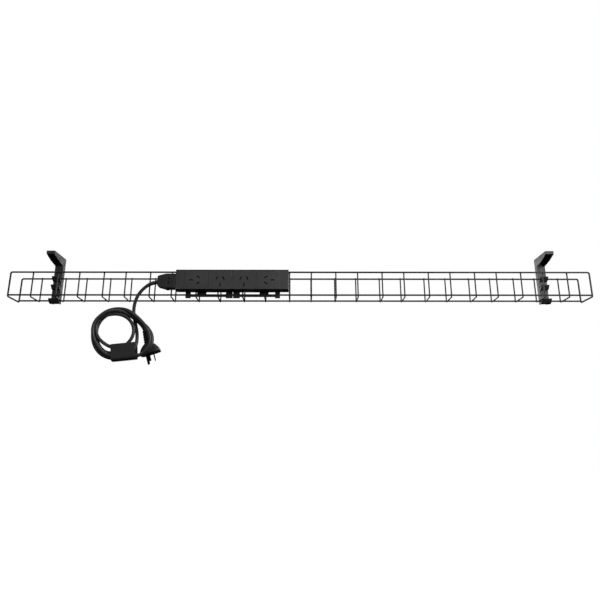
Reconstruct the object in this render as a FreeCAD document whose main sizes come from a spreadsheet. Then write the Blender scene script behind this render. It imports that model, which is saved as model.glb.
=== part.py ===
import FreeCAD, Part
import math
import os
import re
import Sketcher

# Wire cable basket that hangs under a desk on two hooked brackets, with a four-outlet power
# rail clipped on its front wires and a plug-in supply lead coiled below.
# Millimetres. The origin is the centre of the four desk screws, on the underside of the desk:
# +X runs along the basket, +Y to the back, +Z up into the desk.

SIZES = {
    # How far a cutting block passes the surface that it cuts
    "overcut": 1.0,
    # Basket
    "basket_length": 1250.0,
    "basket_depth": 52.0,
    "basket_drop": 51.0,
    "basket_shift": -6.0,
    "rim_below_desk": 50.5,
    "rim_wire_d": 3.6,
    "cross_wire_d": 3.0,
    "rim_bend_r": 3.2,
    "cross_bend_r": 2.6,
    "weld_sink": 0.2,
    "leg_top_drop": 0.6,
    "pair_gap": 47.0,
    "pair_count": 13.0,
    # Brackets
    "bracket_spacing": 1090.0,
    "screw_spacing": 28.0,
    "screw_hole_r": 2.25,
    "bracket_width": 18.0,
    "bracket_plate": 4.0,
    "bracket_side": 2.5,
    "flange_reach": 27.5,
    "flange_tip": 7.0,
    "gusset_front_drop": 14.5,
    "gusset_root_drop": 19.5,
    "strap_depth": 11.7,
    "foot_drop": 4.5,
    "foot_width": 22.0,
    "seat_gap": 0.3,
    "hook_reach": 9.5,
    "hook_tip": 1.3,
    "hook_under": 4.5,
    "hook_root": 2.0,
    "spare_hook_drop": 19.5,
    # Power rail
    "rail_x": -143.5,
    "rail_below_rim": 6.0,
    "rail_height": 40.0,
    "rail_depth": 24.0,
    "rail_wall": 2.0,
    "rail_lip": 4.0,
    "rail_brow": 2.8,
    "brow_setback": 0.6,
    "module_width": 50.0,
    "module_gap": 0.5,
    "module_wall": 1.5,
    "module_count": 4.0,
    "plate_edge_r": 0.4,
    "shell_sink": 0.2,
    "rail_end": 18.5,
    "cap_corner_r": 1.2,
    "fit_gap": 0.3,
    # Outlets and pins to AS/NZS 3112
    "blade_width": 6.35,
    "blade_thick": 1.6,
    "line_pin_radius": 7.92,
    "earth_pin_radius": 10.31,
    "slot_clearance": 0.8,
    "clip_leaf": 0.8,
    "clip_play": 0.2,
    "clip_depth": 8.0,
    "clip_width": 4.6,
    "stem": 1.6,
    "tab_offset": 3.2,
    "tab_width": 2.6,
    "bar_thick": 1.2,
    "bar_width": 3.0,
    "bar_margin": 0.4,
    "earth_bar_depth": 3.4,
    "inlet_pin_width": 5.0,
    "inlet_pin_thick": 1.5,
    "inlet_pin_pitch": 8.5,
    "inlet_pin_reach": 12.0,
    "inlet_foot": 3.0,
    # Cradles
    "cradle_length": 99.5,
    "cradle_gap": 1.3,
    "cradle_plate": 1.6,
    "cradle_bar": 4.6,
    "cradle_bar_thick": 4.0,
    "cradle_window": 5.6,
    "outer_foot": 10.5,
    "inner_foot": 14.0,
    "foot_below_bar": 2.8,
    "foot_stand": 1.0,
    "cradle_block": 19.3,
    "cradle_block_at": 24.3,
    "hook_width": 12.0,
    "hook_wall": 2.0,
    "hook_lip": 4.5,
    "hook_chamfer": 1.2,
    "screw_head_r": 3.2,
    "screw_head": 2.0,
    "screw_r": 1.5,
    "screw_beyond": 1.0,
    "screw_dome_r": 0.8,
    "screw_play": 0.05,
    # Supply connector
    "connector_length": 38.0,
    "connector_depth": 18.0,
    "connector_wall": 3.2,
    "connector_nose": 23.2,
    "connector_taper": 17.0,
    "connector_corner": 2.0,
    "connector_edge_r": 1.2,
    "connector_drop": 1.1,
    "cavity_depth": 8.0,
    "cavity_length": 22.0,
    "end_wall": 3.0,
    "terminal_length": 9.0,
    "terminal_height": 7.6,
    "pin_clearance": 0.3,
    "case_screw_at": 14.0,
    "case_screw_pitch": 9.4,
    "case_screw_r": 2.3,
    "case_shank_r": 0.8,
    "case_head_deep": 2.6,
    "case_head": 2.0,
    "latch_at": 17.0,
    "latch_length": 7.0,
    "latch_width": 8.0,
    "latch_stand": 2.2,
    "latch_deep": 2.2,
    "latch_travel": 1.5,
    "latch_edge_r": 1.0,
    "gland_r": 4.6,
    "gland_stand": 2.5,
    "gland_inside": 4.0,
    "gland_drop": 0.9,
    # Lead
    "cord_d": 7.0,
    "coil_thick": 15.5,
    "label_length": 49.0,
    "label_height": 34.4,
    "label_thick": 19.5,
    "label_wall": 0.8,
    "label_fold_r": 5.0,
    "label_tilt": 5.8,
    "boot_sink": 3.0,
    "boot_small_r": 5.0,
    "boot_large_r": 8.2,
    "boot_ribs": 6.0,
    "boot_groove": 0.9,
    "plug_width": 42.0,
    "plug_depth": 26.0,
    "plug_length": 23.0,
    "plug_taper": 13.0,
    "plug_corner": 6.0,
    "plug_edge_r": 1.5,
    "plug_tilt": 17.6,
    "plug_turn": 130.0,
    "line_pin_length": 17.1,
    "earth_pin_length": 19.9,
    "pin_root": 2.0,
    "pin_chamfer": 0.5,
}

# Places worked out from the sizes; each may use the ones above it.
PLACES = {
    "front_y": "basket_shift - basket_depth / 2 + rim_wire_d / 2",
    "rear_y": "basket_shift + basket_depth / 2 - rim_wire_d / 2",
    "rim_z": "-rim_below_desk",
    "bottom_z": "rim_z - basket_drop",
    "end_x": "basket_length / 2 - rim_wire_d / 2",
    "pair_pitch": "(basket_length - rim_wire_d - pair_gap) / (pair_count - 1)",
    "cross_half": "basket_depth / 2 - rim_wire_d - cross_wire_d / 2 + weld_sink",
    "cross_z": "bottom_z - rim_wire_d / 2 - cross_wire_d / 2 + weld_sink",
    "leg_top_z": "rim_z + rim_wire_d / 2 - leg_top_drop",
    "seat_r": "rim_wire_d / 2 + seat_gap",
    "strap_y": "rear_y + seat_r",
    "strap_back_y": "strap_y + strap_depth",
    "strap_foot_z": "bottom_z - foot_drop",
    "cradle_back_y": "front_y - seat_r",
    "rail_back_y": "cradle_back_y - cradle_plate",
    "rail_face_y": "rail_back_y - rail_depth",
    "rail_plate_y": "rail_face_y + rail_wall",
    "rail_top_z": "rim_z - rail_below_rim",
    "rail_z": "rail_top_z - rail_height / 2",
    "rail_under_z": "rail_top_z - rail_height",
    "rail_length": "module_count * module_width + 2 * rail_end",
    "rail_left_x": "rail_x - rail_length / 2",
    "rail_right_x": "rail_x + rail_length / 2",
    "clip_back_y": "rail_plate_y + fit_gap + clip_depth",
    "bar_offset": "rail_height / 2 - rail_wall - bar_margin - bar_width / 2",
    "bar_y": "clip_back_y + clip_leaf",
    "earth_bar_y": "bar_y + earth_bar_depth",
    "bars_left_x": "rail_left_x + rail_wall + 2 * fit_gap",
    "bars_right_x": "rail_right_x - rail_end",
    "bar_bottom_z": "rail_under_z - cradle_window - cradle_bar",
    "terminal_reach": "inlet_pin_pitch + terminal_height / 2 + fit_gap",
    "connector_height": "2 * (terminal_reach + connector_wall)",
    "connector_x": "rail_left_x - fit_gap",
    "connector_z": "rail_z - connector_drop",
    "connector_y": "clip_back_y",
    "nose_x": "connector_x - connector_length",
    "gland_z": "connector_z - gland_drop",
    "gland_face_x": "nose_x - gland_stand",
}

# Route of the lead from the gland down to the coil: (x, y, z).
CORD_ROUTE = [
    (-303.0, -47.6, -78.5),
    (-312.5, -47.8, -80.6),
    (-323.0, -47.9, -86.4),
    (-332.6, -47.7, -95.0),
    (-339.8, -47.0, -106.0),
    (-343.9, -45.8, -118.6),
    (-345.9, -44.2, -131.8),
    (-345.6, -42.6, -144.6),
    (-343.5, -41.5, -156.4),
]

# The coil hangs face-on: its outer outline, and the centre and half axes of its eye (x, z).
COIL_Y = -51.0
COIL_OUTLINE = [
    (-427.0, -188.0),
    (-413.0, -151.0),
    (-378.0, -132.6),
    (-341.0, -142.0),
    (-312.0, -163.0),
    (-299.0, -192.0),
    (-308.0, -226.0),
    (-340.0, -243.0),
    (-383.0, -243.0),
    (-415.0, -222.0),
]
COIL_EYE = (-377.0, -182.5)
COIL_EYE_HALF = (37.5, 29.0)
LABEL_CENTRE = (-358.0, -51.0, -228.2)
BOOT_TOP = (-321.3, -38.0, -182.1)
PLUG_FACE = (-311.4, -31.5, -228.1)

X_AXIS = FreeCAD.Vector(1, 0, 0)
Y_AXIS = FreeCAD.Vector(0, 1, 0)
Z_AXIS = FreeCAD.Vector(0, 0, 1)
SHEET = "Sizes"
DERIVED = "Places"

doc = FreeCAD.newDocument("CableTray")


def fill_sheet():
    """Put each driving size in its own named cell."""
    sheet = doc.addObject("Spreadsheet::Sheet", SHEET)
    for row, (alias, size) in enumerate(SIZES.items(), 1):
        sheet.set(f"A{row}", alias)
        sheet.set(f"B{row}", str(size))
        sheet.setAlias(f"B{row}", alias)
    doc.recompute()
    return sheet


def linked(text):
    """Turn the names in an expression into references to the sheet and to the places."""
    def reference(match):
        word = match.group(0)
        if word in SIZES:
            return f"{SHEET}.{word}"
        if word in PLACES:
            return f"{DERIVED}.{word}"
        return word
    return re.sub(r"[a-z][a-z_]*", reference, str(text))


def fill_places():
    """Bind each derived place to the sheet."""
    holder = doc.addObject("App::VarSet", DERIVED)
    for name, text in PLACES.items():
        holder.addProperty("App::PropertyFloat", name)
    for name, text in PLACES.items():
        holder.setExpression(name, linked(text).replace(f"{DERIVED}.", ""))
    doc.recompute()
    return holder


sheet = fill_sheet()
places = fill_places()


def size(name):
    """A driving size or a derived place, as a number."""
    return getattr(places, name) if name in PLACES else float(sheet.get(name))


def vector(x, y, z):
    """A point of the row frame."""
    return FreeCAD.Vector(x, y, z)


def bind_place(item, x, y, z):
    """Bind the position of an object."""
    for axis, text in zip("xyz", (x, y, z)):
        item.setExpression(f"Placement.Base.{axis}", linked(text))
    return item


def box(x, y, z, length, width, height, label="Block"):
    """A block by its low corner and its three sides."""
    item = doc.addObject("Part::Box", "Block")
    item.Label = label
    item.setExpression("Length", linked(length))
    item.setExpression("Width", linked(width))
    item.setExpression("Height", linked(height))
    return bind_place(item, x, y, z)


def cylinder(x, y, z, radius, length, axis=Z_AXIS, label="Rod"):
    """A round rod from the centre of one end, along an axis."""
    item = doc.addObject("Part::Cylinder", "Rod")
    item.Label = label
    item.setExpression("Radius", linked(radius))
    item.setExpression("Height", linked(length))
    item.Placement.Rotation = FreeCAD.Rotation(Z_AXIS, axis)
    return bind_place(item, x, y, z)


def fuse(label, *items):
    """Join touching objects into one solid."""
    joined = doc.addObject("Part::MultiFuse", "Fusion")
    joined.Label = label
    joined.Shapes = list(items)
    joined.Refine = True
    return joined


def cut(label, base, *tools):
    """Remove the tools from the base."""
    if len(tools) > 1:
        tool = fuse("Tools", *tools)
    else:
        tool = tools[0]
    result = doc.addObject("Part::Cut", "Cut")
    result.Label = label
    result.Base = base
    result.Tool = tool
    return result


def group(label, *items):
    """Keep equal pieces together as separate solids of one sub-part."""
    together = doc.addObject("Part::Compound", "Group")
    together.Label = label
    together.Links = list(items)
    return together


def shaped(label, shape):
    """A sub-part whose shape has no feature of its own."""
    item = doc.addObject("Part::Feature", "Shaped")
    item.Label = label
    item.Shape = shape
    return item


def outline_body(label, plane, outline, thickness, taper=None):
    """Pad a closed outline, both sides of its plane, or one way with a taper.

    plane is "XY", "XZ" or "YZ"; outline lists the corners as pairs of expressions.
    """
    body = doc.addObject("PartDesign::Body", "Body")
    body.Label = label
    sketch = body.newObject("Sketcher::SketchObject", "Outline")
    origin_plane = [item for item in body.Origin.OriginFeatures if item.Role == f"{plane}_Plane"][0]
    sketch.AttachmentSupport = [(origin_plane, "")]
    sketch.MapMode = "FlatFace"
    count = len(outline)
    for index in range(count):
        start = vector(math.cos(index * math.tau / count), math.sin(index * math.tau / count), 0)
        angle = (index + 1) * math.tau / count
        sketch.addGeometry(Part.LineSegment(start, vector(math.cos(angle), math.sin(angle), 0)))
    for index in range(count):
        sketch.addConstraint(Sketcher.Constraint("Coincident", index, 2, (index + 1) % count, 1))
    for index, corner in enumerate(outline):
        for kind, text in zip(("DistanceX", "DistanceY"), corner):
            number = sketch.addConstraint(Sketcher.Constraint(kind, -1, 1, index, 1, 1.0))
            sketch.setExpression(f"Constraints[{number}]", linked(text))
    pad = body.newObject("PartDesign::Pad", "Pad")
    pad.Profile = sketch
    pad.setExpression("Length", linked(thickness))
    if taper is None:
        pad.Midplane = True
    else:
        pad.setExpression("TaperAngle", linked(taper))
    return body


def at(item, x="0", y="0", z="0"):
    """Move an object to its place."""
    return bind_place(item, x, y, z)


def round_edges(label, base, radius, chosen):
    """Fillet the edges of a base that a test picks."""
    doc.recompute()
    rounded = doc.addObject("Part::Fillet", "Rounded")
    rounded.Label = label
    rounded.Base = base
    edges = [number for number, edge in enumerate(base.Shape.Edges, 1) if chosen(edge)]
    rounded.Edges = [(number, radius, radius) for number in edges]
    return rounded


def along(axis):
    """A test for straight edges that run along an axis."""
    def chosen(edge):
        run = edge.Vertexes[-1].Point - edge.Vertexes[0].Point
        return edge.Length > 0.5 and run.Length > 0.5 and abs(run.normalize().dot(axis)) > 0.999
    return chosen


# ---------------------------------------------------------------- bent wire and cord paths

def bent_path(corners, radii, closed=False):
    """Straight runs between corners, joined by tangent arcs."""
    count = len(corners)
    bends = []
    for index in range(count):
        if not closed and index in (0, count - 1):
            bends.append((corners[index], None, corners[index]))
            continue
        here = corners[index]
        back = (corners[index - 1] - here).normalize()
        ahead = (corners[(index + 1) % count] - here).normalize()
        half = back.getAngle(ahead) / 2
        reach = radii[index] / math.tan(half)
        middle = (back + ahead).normalize() * (radii[index] / math.sin(half) - radii[index])
        bends.append((here + back * reach, here + middle, here + ahead * reach))
    edges = []
    for index in range(count if closed else count - 1):
        if bends[index][1] is not None:
            edges.append(Part.Arc(*bends[index]).toShape())
        edges.append(Part.LineSegment(bends[index][2], bends[(index + 1) % count][0]).toShape())
    return Part.Wire(edges)


def round_sweep(path, diameter):
    """A round bar along a path."""
    first = path.OrderedEdges[0]
    start = first.valueAt(first.FirstParameter)
    ring = Part.Circle(start, first.tangentAt(first.FirstParameter), diameter / 2)
    return path.makePipe(Part.Face(Part.Wire([ring.toShape()])))


# ---------------------------------------------------------------- basket

def rim_wire():
    """Closed rim: two long top wires joined at each end by a U that hangs down."""
    end, top, low = size("end_x"), size("rim_z"), size("cross_z")
    front, rear = size("front_y"), size("rear_y")
    left = [(-end, front, top), (-end, front, low), (-end, rear, low), (-end, rear, top)]
    right = [(end, y, z) for _, y, z in reversed(left)]
    corners = [vector(*corner) for corner in left + right]
    path = bent_path(corners, [size("rim_bend_r")] * len(corners), closed=True)
    return shaped("rim_wire", round_sweep(path, size("rim_wire_d")))


def bottom_wire(label, y):
    """Long wire low on one side, butt-welded between the end legs."""
    reach = "(end_x - rim_wire_d / 2 + weld_sink)"
    return cylinder(f"-{reach}", y, "bottom_z", "rim_wire_d / 2", f"2 * {reach}", X_AXIS, label)


def cross_wires():
    """U-shaped cross wires in pairs, welded inside the long wires."""
    half, low, top = size("cross_half"), size("cross_z"), size("leg_top_z")
    middle = size("basket_shift")
    corners = [vector(0, middle - half, top), vector(0, middle - half, low),
               vector(0, middle + half, low), vector(0, middle + half, top)]
    bend = size("cross_bend_r")
    wire = round_sweep(bent_path(corners, [0, bend, bend, 0]), size("cross_wire_d"))
    count = int(size("pair_count"))
    stations = []
    for pair in range(count):
        centre = (pair - (count - 1) / 2) * size("pair_pitch")
        stations += [centre - size("pair_gap") / 2, centre + size("pair_gap") / 2]
    wires = []
    for station in stations[1:-1]:
        copy = wire.copy()
        copy.translate(vector(station, 0, 0))
        wires.append(copy)
    return shaped("cross_wires", Part.makeCompound(wires))


# ---------------------------------------------------------------- brackets

def bracket_hook(height, width):
    """Forward hook with a 45 degree lead-in lip, for a wire that lies against the strap."""
    lip = "(hook_reach - seat_r - seat_r * sqrt(2))"
    outline = [
        ("strap_y + overcut", f"{height} - seat_r"),
        ("strap_y - seat_r * sqrt(2)", f"{height} - seat_r"),
        ("strap_y - hook_reach", f"{height} + {lip}"),
        ("strap_y - hook_reach - hook_tip", f"{height} + {lip} - hook_tip"),
        ("strap_y - hook_reach + hook_under", f"{height} - hook_under"),
        ("strap_y + overcut", f"{height} - hook_under - hook_root"),
    ]
    return outline_body("Hook", "YZ", outline, width)


def bracket(label, x):
    """L-shaped channel bracket: screwed flange, gusseted strap and three hooks."""
    side_outline = [
        ("-flange_reach", "0"),
        ("strap_back_y", "0"),
        ("strap_back_y", "strap_foot_z"),
        ("strap_y", "strap_foot_z"),
        ("strap_y", "-gusset_root_drop"),
        ("basket_shift", "-gusset_front_drop"),
        ("-flange_reach", "-flange_tip"),
    ]
    whole = outline_body("BracketOutline", "YZ", side_outline, "bracket_width")
    inner = "(bracket_width - 2 * bracket_side)"
    hollow_z, hollow_height = "strap_foot_z - overcut", "overcut - strap_foot_z - bracket_plate"
    under_flange = box(f"-{inner} / 2", "bracket_side - flange_reach", hollow_z, inner,
                       "strap_y + flange_reach - bracket_side", hollow_height)
    behind_strap = box(f"-{inner} / 2", "strap_y + bracket_plate", hollow_z, inner,
                       "strap_depth", hollow_height)
    channel = cut("Channel", whole, under_flange, behind_strap)
    hooks = [
        bracket_hook("rim_z", "bracket_width"),
        bracket_hook("(rim_z - spare_hook_drop)", "bracket_width"),
        bracket_hook("bottom_z", "foot_width"),
    ]
    screw_holes = [
        cylinder("0", f"{sign} * screw_spacing / 2", "-2 * bracket_plate", "screw_hole_r",
                 "3 * bracket_plate")
        for sign in (-1, 1)
    ]
    moulding = cut(label, fuse("Moulding", channel, *hooks), *screw_holes)
    return at(moulding, x)


# ---------------------------------------------------------------- outlets

POLES = {"active": 150.0, "neutral": 30.0, "earth": -90.0}
BAR_SIDES = {"active": 1, "neutral": -1, "earth": 0}
OUTLET_TURNS = [-90.0, 0.0, 0.0, 90.0]


def pole_centre(pole, turn):
    """Place of one pole round the outlet's centre, seen from the front, as (x, z)."""
    radius = size("earth_pin_radius") if pole == "earth" else size("line_pin_radius")
    angle = math.radians(POLES[pole] + turn)
    return radius * math.cos(angle), radius * math.sin(angle)


def blade_lean(pole, turn):
    """Angle of the blade's broad side from upright, in degrees, seen from the front."""
    lean = {"active": -30.0, "neutral": 30.0, "earth": 0.0}[pole]
    return lean + turn


def upright_box(centre, width, depth, height, lean=0.0):
    """A block about a point, leaned in the plane of the rail's face."""
    block = Part.makeBox(width, depth, height, vector(-width / 2, 0, -height / 2))
    block.rotate(vector(0, 0, 0), Y_AXIS, -lean)
    block.translate(centre)
    return block


def outlet_x(index):
    """Centre of one outlet along the rail."""
    return size("rail_x") + (index - (len(OUTLET_TURNS) - 1) / 2) * size("module_width")


def socket_module(index):
    """Outlet module: a face plate with three slots and a shell behind it."""
    left = f"(rail_x + ({index} - module_count / 2) * module_width + module_gap / 2)"
    plate_width = "(module_width - module_gap)"
    plate = box(left, "rail_face_y", "rail_under_z", plate_width, "rail_wall", "rail_height")
    plate = round_edges("Plate", plate, size("plate_edge_r"),
                        lambda edge: edge.CenterOfMass.y < plate_y_middle())
    inset = "(rail_wall + fit_gap)"
    shell = box(f"{left} + {inset}", "rail_plate_y - shell_sink", f"rail_under_z + {inset}",
                f"{plate_width} - 2 * {inset}", "clip_depth + shell_sink",
                f"rail_height - 2 * {inset}")
    wall = f"({inset} + module_wall)"
    hollow = box(f"{left} + {wall}", "rail_plate_y", f"rail_under_z + {wall}",
                 f"{plate_width} - 2 * {wall}", "clip_depth + overcut",
                 f"rail_height - 2 * {wall}")
    slots = []
    for pole in POLES:
        x, z = pole_centre(pole, OUTLET_TURNS[index])
        width = size("blade_thick") + size("slot_clearance")
        height = size("blade_width") + 2 * size("slot_clearance")
        centre = vector(outlet_x(index) + x, size("rail_face_y") - size("overcut"),
                        size("rail_z") + z)
        depth = size("rail_wall") + 2 * size("overcut")
        lean = blade_lean(pole, OUTLET_TURNS[index])
        slots.append(shaped("Slot", upright_box(centre, width, depth, height, lean)))
    case = cut("Case", fuse("Front", plate, shell), hollow)
    return cut(f"socket_module_{index + 1}", case, *slots)


def plate_y_middle():
    """Half way through the thickness of the face plates."""
    return (size("rail_face_y") + size("rail_plate_y")) / 2


def socket_contact(index, pole):
    """Sprung clip behind one slot, with a stem and a tab that reach its busbar."""
    turn = OUTLET_TURNS[index]
    x, z = pole_centre(pole, turn)
    leaf, depth = size("clip_leaf"), size("clip_depth")
    gap, high = size("blade_thick") + size("clip_play"), size("clip_width")
    over = size("overcut")
    front = size("rail_plate_y") + size("fit_gap")
    centre = vector(outlet_x(index) + x, front, size("rail_z") + z)
    clip = upright_box(centre, gap + 2 * leaf, depth, high, blade_lean(pole, turn))
    mouth = centre - Y_AXIS * over
    throat = upright_box(mouth, gap, depth + over - leaf, high + over, blade_lean(pole, turn))
    back = size("earth_bar_y") if pole == "earth" else size("bar_y")
    target = BAR_SIDES[pole] * size("bar_offset")
    shift = BAR_SIDES[pole] * size("tab_offset")
    stem_start = vector(centre.x, front + depth - leaf / 2, centre.z)
    stem = upright_box(stem_start, size("stem"), back - stem_start.y, size("stem"))
    foot = upright_box(vector(centre.x + shift / 2, back - leaf, centre.z),
                       abs(shift) + size("tab_width"), leaf, size("tab_width"))
    tab_z = size("rail_z") + target
    tab = upright_box(vector(centre.x + shift, back - leaf, (centre.z + tab_z) / 2),
                      size("tab_width"), leaf, abs(centre.z - tab_z) + size("tab_width"))
    return clip.cut(throat).fuse([stem, foot, tab]).removeSplitter()


def socket_contacts(pole):
    """The four clips of one pole."""
    clips = [socket_contact(index, pole) for index in range(len(OUTLET_TURNS))]
    return shaped(f"contacts_{pole}", Part.makeCompound(clips))


def busbar(pole):
    """Straight strip that feeds the four clips of one pole."""
    y = "earth_bar_y" if pole == "earth" else "bar_y"
    return box("bars_left_x", y, f"rail_z + {BAR_SIDES[pole]} * bar_offset - bar_width / 2",
               "bars_right_x - bars_left_x", "bar_thick", "bar_width", f"busbar_{pole}")


def inlet_pin(side):
    """Flat pin through the left end cap, with a foot that reaches its busbar."""
    pin = box("rail_left_x - inlet_pin_reach", "bar_y - inlet_pin_thick",
              f"rail_z + {side} * inlet_pin_pitch - inlet_pin_width / 2",
              "bars_left_x - rail_left_x + inlet_pin_reach + inlet_foot", "inlet_pin_thick",
              "inlet_pin_width")
    if side == 0:
        foot = box("bars_left_x", "bar_y - inlet_pin_thick / 2", "rail_z - inlet_pin_width / 2",
                   "inlet_foot", "earth_bar_depth + inlet_pin_thick / 2", "inlet_pin_width")
    else:
        low = "inlet_pin_pitch" if side > 0 else "-bar_offset - bar_width / 2"
        foot = box("bars_left_x", "bar_y - inlet_pin_thick", f"rail_z + {low}", "inlet_foot",
                   "inlet_pin_thick", "bar_offset + bar_width / 2 - inlet_pin_pitch")
    return fuse("Pin", pin, foot)


# ---------------------------------------------------------------- rail housing

def rail_channel():
    """Channel that the modules close, with a brow over them and a lip at its back."""
    length = "(rail_length - 2 * rail_wall)"
    left = "rail_left_x + rail_wall"
    back = box(left, "rail_back_y - rail_wall", "rail_under_z", length, "rail_wall",
               "rail_height + rail_lip")
    depth = "(rail_depth - rail_wall)"
    top = box(left, "rail_plate_y", "rail_top_z - rail_wall", length, depth, "rail_wall")
    bottom = box(left, "rail_plate_y", "rail_under_z", length, depth, "rail_wall")
    brow = box(left, "rail_face_y + brow_setback", "rail_top_z", length,
               "rail_depth - brow_setback", "rail_brow")
    return fuse("rail_channel", back, top, bottom, brow)


def rail_end_cap(label, left_side):
    """End cap: a face plate and an end wall, with three pin slots on the inlet side."""
    plate_x = "rail_left_x" if left_side else "rail_right_x - rail_end"
    wall_x = "rail_left_x" if left_side else "rail_right_x - rail_wall"
    plate = box(plate_x, "rail_face_y", "rail_under_z", "rail_end", "rail_wall", "rail_height")
    wall = box(wall_x, "rail_face_y", "rail_under_z", "rail_wall", "rail_depth", "rail_height")
    lip = box(wall_x, "rail_back_y - rail_wall", "rail_top_z - rail_wall", "rail_wall", "rail_wall",
              "rail_lip + rail_wall")
    brow = box(wall_x, "rail_face_y + brow_setback", "rail_top_z - rail_wall", "rail_wall",
               "rail_depth - brow_setback", "rail_brow + rail_wall")
    corner_x = size("rail_left_x") if left_side else size("rail_right_x")
    cap = fuse("Cap", plate, wall, lip, brow)

    def outer_corner(edge):
        centre = edge.CenterOfMass
        upright = along(Z_AXIS)(edge)
        face_y = size("rail_face_y")
        return upright and abs(centre.x - corner_x) < 0.1 and abs(centre.y - face_y) < 0.1

    rounded = round_edges("RoundedCap" if left_side else label, cap, size("cap_corner_r"),
                          outer_corner)
    if not left_side:
        return rounded
    slots = [
        box("rail_left_x - overcut", "bar_y - inlet_pin_thick - pin_clearance",
            f"rail_z + {side} * inlet_pin_pitch - inlet_pin_width / 2 - pin_clearance",
            "rail_wall + 2 * overcut", "inlet_pin_thick + 2 * pin_clearance",
            "inlet_pin_width + 2 * pin_clearance")
        for side in (-1, 0, 1)
    ]
    return cut(label, rounded, *slots)


# ---------------------------------------------------------------- cradles

def cradle_hook():
    """Hook over the front rim wire, with a rear lip that leans back at 45 degrees."""
    outer = "(seat_r + hook_wall)"
    front = "(front_y - seat_r - cradle_plate)"
    outline = [
        (front, "rim_z - seat_r - hook_wall"),
        (front, f"rim_z + {outer} - hook_chamfer"),
        (f"{front} + hook_chamfer", f"rim_z + {outer}"),
        (f"front_y + {outer} * (sqrt(2) - 1)", f"rim_z + {outer}"),
        (f"front_y + {outer} / sqrt(2) + hook_lip", f"rim_z + {outer} / sqrt(2) - hook_lip"),
        ("front_y + seat_r / sqrt(2) + hook_lip", "rim_z + seat_r / sqrt(2) - hook_lip"),
        ("front_y + seat_r * (sqrt(2) - 1)", "rim_z + seat_r"),
        ("front_y - seat_r", "rim_z + seat_r"),
        ("front_y - seat_r", "rim_z - seat_r - hook_wall"),
    ]
    return outline_body("RimHook", "YZ", outline, "hook_width")


def cradle_span(side, start, length):
    """Low X of a stretch of a cradle, counted from its outer end."""
    outer_end = "(cradle_length + cradle_gap / 2)"
    if side < 0:
        return f"rail_x - {outer_end} + {start}"
    return f"rail_x + {outer_end} - {start} - {length}"


def cradle(label, side):
    """Clip bracket behind the rail: back plate, windows, bar, feet and two rim hooks."""
    def stretch(start, length, y, z, depth, height):
        return box(cradle_span(side, start, length), y, z, length, depth, height)

    plate = stretch("0", "cradle_length", "rail_back_y", "bar_bottom_z", "cradle_plate",
                    "rim_z - seat_r - bar_bottom_z")
    bar = stretch("0", "cradle_length", "cradle_back_y - cradle_bar_thick", "bar_bottom_z",
                  "cradle_bar_thick", "cradle_bar")
    block = stretch("cradle_block_at", "cradle_block", "cradle_back_y - cradle_bar_thick",
                    "bar_bottom_z", "cradle_bar_thick", "rail_under_z - bar_bottom_z")
    foot_z = "bar_bottom_z - foot_below_bar"
    foot_height = "rail_under_z - bar_bottom_z + foot_below_bar"
    foot_y = "cradle_back_y - cradle_bar_thick - foot_stand"
    foot_depth = "cradle_bar_thick + foot_stand"
    outer = stretch("0", "outer_foot", foot_y, foot_z, foot_depth, foot_height)
    inner = stretch("(cradle_length - inner_foot)", "inner_foot", foot_y, foot_z, foot_depth,
                    foot_height)
    hooks = [
        at(cradle_hook(), f"{cradle_span(side, start, 'hook_width')} + hook_width / 2")
        for start in ("0", "(cradle_length - inner_foot)")
    ]
    block_end = "(cradle_block_at + cradle_block)"
    windows = [
        stretch(start, length, "rail_back_y - overcut", "bar_bottom_z + cradle_bar",
                "cradle_plate + 2 * overcut", "cradle_window")
        for start, length in (("outer_foot", "(cradle_block_at - outer_foot)"),
                              (block_end, f"(cradle_length - inner_foot - {block_end})"))
    ]
    return cut(label, fuse("Frame", plate, bar, block, outer, inner, *hooks), *windows)


def cradle_screws():
    """Pan-head screws that hold the cradles to the back wall of the rail."""
    dome_y = size("cradle_back_y") + size("screw_head")
    screws = []
    for x in screw_stations():
        head = cylinder(x, "cradle_back_y", "rail_z", "screw_head_r", "screw_head", Y_AXIS)
        shank = cylinder(x, "rail_back_y - rail_wall - screw_beyond", "rail_z", "screw_r",
                         "cradle_plate + rail_wall + 2 * screw_beyond", Y_AXIS)
        screws.append(round_edges("Screw", fuse("RawScrew", head, shank), size("screw_dome_r"),
                                  lambda edge: abs(edge.CenterOfMass.y - dome_y) < 0.1))
    return group("cradle_screws", *screws)


def screw_stations():
    """Places of the cradle screws along the rail, two to a cradle, left to right."""
    starts = ("(outer_foot / 2)", "(cradle_length - inner_foot / 2)")
    return [cradle_span(side, start, "0") for side in (-1, 1) for start in starts]


def screw_tunnels():
    """Clearance for the shanks in the cradles and the back wall."""
    return [
        cylinder(x, "rail_back_y - rail_wall - overcut", "rail_z", "screw_r + screw_play",
                 "cradle_plate + rail_wall + 2 * overcut", Y_AXIS)
        for x in screw_stations()
    ]


# ---------------------------------------------------------------- supply connector

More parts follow.
